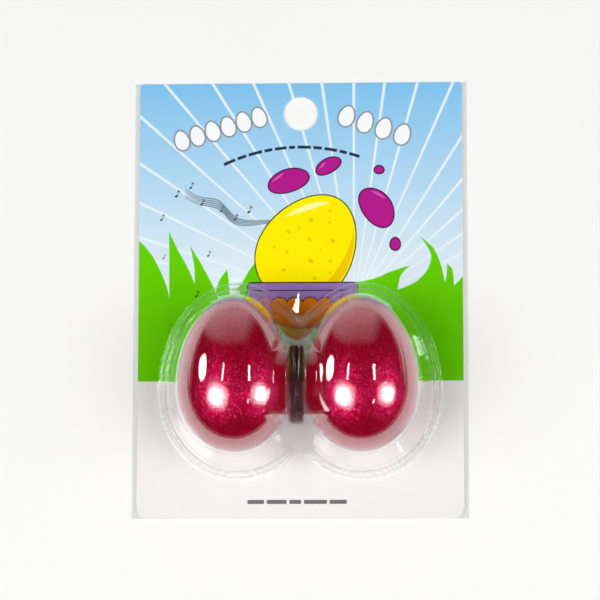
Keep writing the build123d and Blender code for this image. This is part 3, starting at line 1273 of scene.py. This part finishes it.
def print_egg_in_bowl(inks):
    black = inks["black"]
    egg = placed(egg_loop(17.4, 21.8), *EGG_ART)
    shade = placed(crescent(16.8, 21.2, -70, 45, depth=3.4), *EGG_ART)
    light = placed(crescent(14.8, 19.2, 100, 165, depth=2.4), *EGG_ART)
    dots = [placed(circle(x, y, r, 20, r * 0.8), *EGG_ART) for x, y, r in EGG_DOTS]
    stones, stone_lights = [], []
    for x, y, radius_x, radius_y, turn in STONES:
        stones.append(placed(egg_loop(radius_x, radius_y, 0.10, 48), x, y, turn))
        if radius_x > 3:
            moon = crescent(radius_x - 1.0, radius_y - 0.8, 95, 160, depth=0.9, taper=0.10)
            stone_lights.append(placed(moon, x, y, turn))
    bowl = ellipse_arc(BOWL_CENTRE, BOWL_RADII, 180, 360, 24)
    rim = placed(rounded_bar(41.0, 2.6, 1.2, 8), BOWL_CENTRE[0], RIM_Y, 0.0)
    band = bowl_band()
    for name, polygons, layer, ink in (
        ("shape_outline", [grown(shape, OUTLINE) for shape in [egg] + stones], 3, black),
        ("yellow", [egg], 4, inks["yellow"]),
        ("yellow_shade", [shade], 5, inks["amber"]),
        ("yellow_dots", dots, 6, inks["amber"]),
        ("yellow_light", [light], 6, inks["cream"]),
        ("magenta", stones, 4, inks["magenta"]),
        ("magenta_light", stone_lights, 5, inks["pink"]),
        ("bowl_outline", [grown(bowl, OUTLINE), grown(rim, OUTLINE)], 7, black),
        ("violet", [bowl], 8, inks["violet"]),
        ("band_outline", [grown(band, THIN_OUTLINE)], 9, black),
        ("orange", [band], 10, inks["orange"]),
        ("rim_outline", [grown(rim, THIN_OUTLINE)], 11, black),
        ("rim", [rim], 12, inks["violet"]),
    ):
        printed(name, polygons, layer, ink)


# notes and a staff of wavy lines -------------------------------------------
NOTE_LEAN = 0.15
# x, y, size
NOTES = (
    (-47.0, 39.2, 0.9), (-41.6, 42.4, 0.8), (-37.4, 36.0, 0.8), (-30.0, 33.4, 0.8),
    (-24.8, 30.2, 0.8), (-19.6, 33.0, 0.9), (-52.6, 30.2, 0.8), (-51.6, 15.6, 0.6),
    (-34.8, 16.4, 0.7), (-39.2, 1.0, 0.8),
)
# x and y of the middle line, and how far the lines spread there
STAFF = (
    (-43.6, 40.4, 1.2), (-38.6, 37.6, 1.0), (-31.0, 35.9, 1.1),
    (-25.6, 30.6, 1.0), (-20.6, 28.9, 0.7), (-10.6, 29.4, 0.35),
)
STAFF_LINES, STAFF_PITCH = 5, 0.72


def note(x, y, size):
    """Head, stem and flag."""
    lean = NOTE_LEAN * size
    top = y + 2.8 * size
    return [
        circle(x, y, 0.62 * size, 18, 0.45 * size, 0.4),
        [
            (x + 0.5 * size, y), (x + 0.75 * size, y),
            (x + 0.75 * size + lean, top), (x + 0.5 * size + lean, top),
        ],
        [
            (x + 0.55 * size + lean, top), (x + 1.7 * size, y + 2.0 * size),
            (x + 1.6 * size, y + 1.6 * size), (x + 0.6 * size + lean, y + 2.1 * size),
        ],
    ]


def print_music(inks):
    printed("notes", [part for place in NOTES for part in note(*place)], 3, inks["black"])
    waves = []
    for k in range(STAFF_LINES):
        offset = (k - 2) * STAFF_PITCH
        line = curve([(x, y + offset * spread) for x, y, spread in STAFF], 12)
        waves.append(ribbon(line, lambda t: 0.16 + 0.22 * math.sin(math.pi * t)))
    printed("waves", waves, 2, inks["slate"])


def build_card():
    white_board = ink_material("card_board", (242, 241, 240), (236, 235, 233))
    give(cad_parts["backing_card"], white_board)
    inks = {word: ink_material(f"print_{word}_ink", *tones) for word, tones in INKS.items()}
    print_sky()
    print_rays(inks)
    print_grass(inks)
    print_badges(inks)
    print_dashes(inks)
    print_bars(inks)
    print_egg_in_bowl(inks)
    print_music(inks)


# ---------------------------------------------------------------------------
# floor and lights, with places and sizes of lights in metres
# ---------------------------------------------------------------------------
CENTRE = Vector((0, -0.036, 0.022))  # the point the lights face

# even light from both sides, little from straight above:
# name, direction, distance, width, height, radiance
FILLS = (
    ("fill_left", (-0.60, -0.16, 0.78), 1.2, 0.8, 0.9, 4.95),
    ("fill_right", (0.64, -0.12, 0.76), 1.2, 0.8, 0.9, 4.65),
    ("fill_top", (0.0, 0.0, 1.0), 1.5, 2.2, 2.2, 0.07),
)
# soft highlights, bright in the middle: side, direction, width, height, roll
SOFTBOXES = (
    ("left", (-0.52, -0.27, 0.79), 0.86, 0.80, 0.75),
    ("right", (0.81, -0.19, 0.55), 0.62, 0.72, 0.15),
)
FILM_BOX_SCALE = 0.62
# glints on the film: name, directions of both ends, distance, width, radiance,
# and where the fade to the edge starts
GLINTS = (
    ("glint_patch", (-0.80, 0.42, 0.37), (-0.82, 0.12, 0.53), 1.2, 0.36, 13.0, 0.72),
    ("glint_strip_left", (-0.31, 0.34, 0.88), (-0.365, 0.12, 0.92), 0.45, 0.022, 11.0, None),
    ("glint_strip_right", (0.455, 0.32, 0.82), (0.47, 0.11, 0.87), 0.45, 0.030, 11.0, None),
    ("glint_strip_low", (0.46, -0.34, 0.82), (0.43, -0.44, 0.79), 0.45, 0.022, 8.0, None),
)


def build_floor():
    near_y, far, z = -480, 2600, -0.02
    corners = [(-far, near_y, z), (far, near_y, z), (far, far, z), (-far, far, z)]
    floor = make_object("table_top", corners, [(0, 1, 2, 3)], smooth=False)
    floor.data.materials.append(floor_material())


def soften_edge(light, fade_start):
    """Fades a light from fade_start (0 middle, 1 edge) out to a rounded-square edge."""
    roundness = 2.6
    n = Shader(light, clear=False)
    place = n.new("ShaderNodeSeparateXYZ", {0: n.geometry("Parametric")})
    powers = []
    for axis in (0, 1):
        across = n.linear(place.outputs[axis], gain=2.0, offset=-1.0)
        powers.append(n.math("POWER", n.math("ABSOLUTE", across), roundness))
    total = n.math("ADD", *powers)
    fall = n.new(
        "ShaderNodeMapRange",
        {
            "Value": n.math("POWER", total, 1 / roundness),
            "From Min": fade_start,
            "From Max": 1.0,
            "To Min": 1.0,
            "To Max": 0.0,
        },
        interpolation_type="SMOOTHSTEP",
    )
    n.put(n.tree.nodes.get("Emission"), "Strength", fall)


def area_light(name, centre, axis_x, axis_y, width, height, radiance, receivers, fade_start):
    """Rectangle facing away from the cross of its axes.

    With receivers it only shines in their reflections; without, it only fills.
    """
    data = bpy.data.lights.new(name, "AREA")
    data.shape = "RECTANGLE"
    data.size = width
    data.size_y = height
    data.energy = radiance * width * height * math.pi
    obj = bpy.data.objects.new(name, data)
    bpy.context.scene.collection.objects.link(obj)
    axis_z = axis_x.cross(axis_y).normalized()
    obj.location = centre
    obj.rotation_euler = Matrix((axis_x, axis_y, axis_z)).transposed().to_euler()
    obj.visible_camera = False
    if fade_start is not None:
        soften_edge(data, fade_start)
    if receivers is None:
        obj.visible_glossy = False
    else:
        obj.visible_diffuse = False
        collection = bpy.data.collections.new(name + "_receivers")
        for receiver in receivers:
            collection.objects.link(receiver)
        obj.light_linking.receiver_collection = collection


def softbox(
    name, direction, distance, width, height, radiance, roll=0.0, receivers=None, fade_start=None
):
    """A light facing the pack from one direction."""
    towards = Vector(direction).normalized()
    turn = towards.to_track_quat("Z", "Y").to_matrix() @ Matrix.Rotation(roll, 3, "Z")
    centre = CENTRE + towards * distance
    axes = turn.col[0].copy(), turn.col[1].copy()
    area_light(name, centre, *axes, width, height, radiance, receivers, fade_start)


def strip_light(name, top, bottom, distance, width, radiance, fade_start, receivers):
    """A light seen from the pack between two directions."""
    top = CENTRE + Vector(top).normalized() * distance
    bottom = CENTRE + Vector(bottom).normalized() * distance
    middle = (top + bottom) / 2
    along = (top - bottom).normalized()
    across = along.cross((middle - CENTRE).normalized()).normalized()
    height = (top - bottom).length
    area_light(name, middle, across, along, width, height, radiance, receivers, fade_start)


def build_lights(film):
    shiny = [
        obj
        for obj in bpy.data.objects
        if obj.type == "MESH" and ("_egg_" in obj.name or "_shot_" in obj.name)
    ]
    for fill in FILLS:
        softbox(*fill)
    for side, direction, width, height, roll in SOFTBOXES:
        softbox(
            "soft_" + side, direction, 0.85, width, height,
            radiance=20.0, roll=roll, receivers=shiny, fade_start=0.30,
        )
        softbox(
            "film_" + side, direction, 0.86, width * FILM_BOX_SCALE, height * FILM_BOX_SCALE,
            radiance=4.8, roll=roll, receivers=[film], fade_start=0.55,
        )
    for glint in GLINTS:
        strip_light(*glint, receivers=[film])


# ---------------------------------------------------------------------------
# world: a graded panel towards +Y, dark elsewhere, bright below the horizon
# ---------------------------------------------------------------------------
# y of the direction, brightness of the panel there
PANEL_LEVELS = (
    (0.58, 0.0), (0.635, 0.15), (0.68, 0.31), (0.72, 0.38), (0.77, 0.47),
    (0.81, 0.54), (0.85, 0.62), (0.89, 0.71), (0.95, 0.94), (1.0, 1.0),
)
DARK_LEVEL, PANEL_LEVEL, BELOW_LEVEL, CAMERA_LEVEL = 0.005, 0.82, 1.0, 0.93
LEFT_GAIN = 0.75  # extra brightness of the panel towards -X


def build_world():
    world = bpy.data.worlds.new("studio")
    bpy.context.scene.world = world
    n = Shader(world)
    world.cycles_visibility.diffuse = False
    direction = n.new("ShaderNodeTexCoord").outputs["Generated"]
    x, y, z = n.new("ShaderNodeSeparateXYZ", {0: direction}).outputs
    # the panel ends softly at both sides, measured as x over y
    ratio = n.math("DIVIDE", x, n.math("MAXIMUM", y, 0.001))
    fade = n.ramp(y, [(at, (level, level, level)) for at, level in PANEL_LEVELS])
    left_end = n.rise(ratio, start=-1.30, span=0.25)
    right_end = n.rise(n.negative(ratio), start=-0.82, span=0.38)
    sides = n.math("MULTIPLY", left_end, right_end)
    leftward = n.rise(n.negative(ratio), start=0.15, span=0.65)
    gain = n.math("ADD", 1.0, n.math("MULTIPLY", leftward, LEFT_GAIN))
    sides = n.math("MULTIPLY", sides, gain)
    panel = n.math("MULTIPLY", fade, sides)
    level = n.math("ADD", DARK_LEVEL, n.math("MULTIPLY", panel, PANEL_LEVEL))
    # the bright part below starts lower towards -Y
    lowering = n.math("MULTIPLY", n.rise(n.negative(y), start=0.45, span=0.35), 0.12)
    depth = n.math("SUBTRACT", n.negative(z), lowering)
    level = n.blend(n.rise(depth, start=0.10, span=0.04), level, BELOW_LEVEL)
    # the camera sees an even backdrop
    level = n.blend(n.ray("Is Camera Ray"), level, CAMERA_LEVEL)
    background = n.new("ShaderNodeBackground", {"Strength": level, "Color": (1.0, 1.0, 1.0)})
    n.finish(background, "ShaderNodeOutputWorld")


# ---------------------------------------------------------------------------
# camera and render settings
# ---------------------------------------------------------------------------
CAMERA_RIGHT = (0.99900565, 0.00171801, -0.04455054)
CAMERA_UP = (0.00463156, 0.98985147, 0.14203032)
CAMERA_BACK = (0.04434243, -0.14209543, 0.98885926)
CAMERA_PLACE = (0.05033229656, -0.16231779056, 1.12677311472)


def build_camera():
    data = bpy.data.cameras.new("camera")
    data.sensor_width = 36.0
    data.lens = 182.16
    data.clip_start = 0.05
    data.clip_end = 20
    camera = bpy.data.objects.new("camera", data)
    bpy.context.scene.collection.objects.link(camera)
    matrix = Matrix((CAMERA_RIGHT, CAMERA_UP, CAMERA_BACK)).transposed().to_4x4()
    matrix.translation = CAMERA_PLACE
    camera.matrix_world = matrix
    bpy.context.scene.camera = camera


def set_render():
    scene = bpy.context.scene
    scene.view_settings.view_transform = "Standard"
    scene.view_settings.look = "None"
    scene.cycles.max_bounces = 14
    scene.cycles.glossy_bounces = 6
    scene.cycles.transparent_max_bounces = 32
    scene.cycles.sample_clamp_indirect = 8.0


film = build_film()
build_eggs()
finish_shot()
build_card()
build_floor()
build_lights(film)
build_world()
build_camera()
set_render()
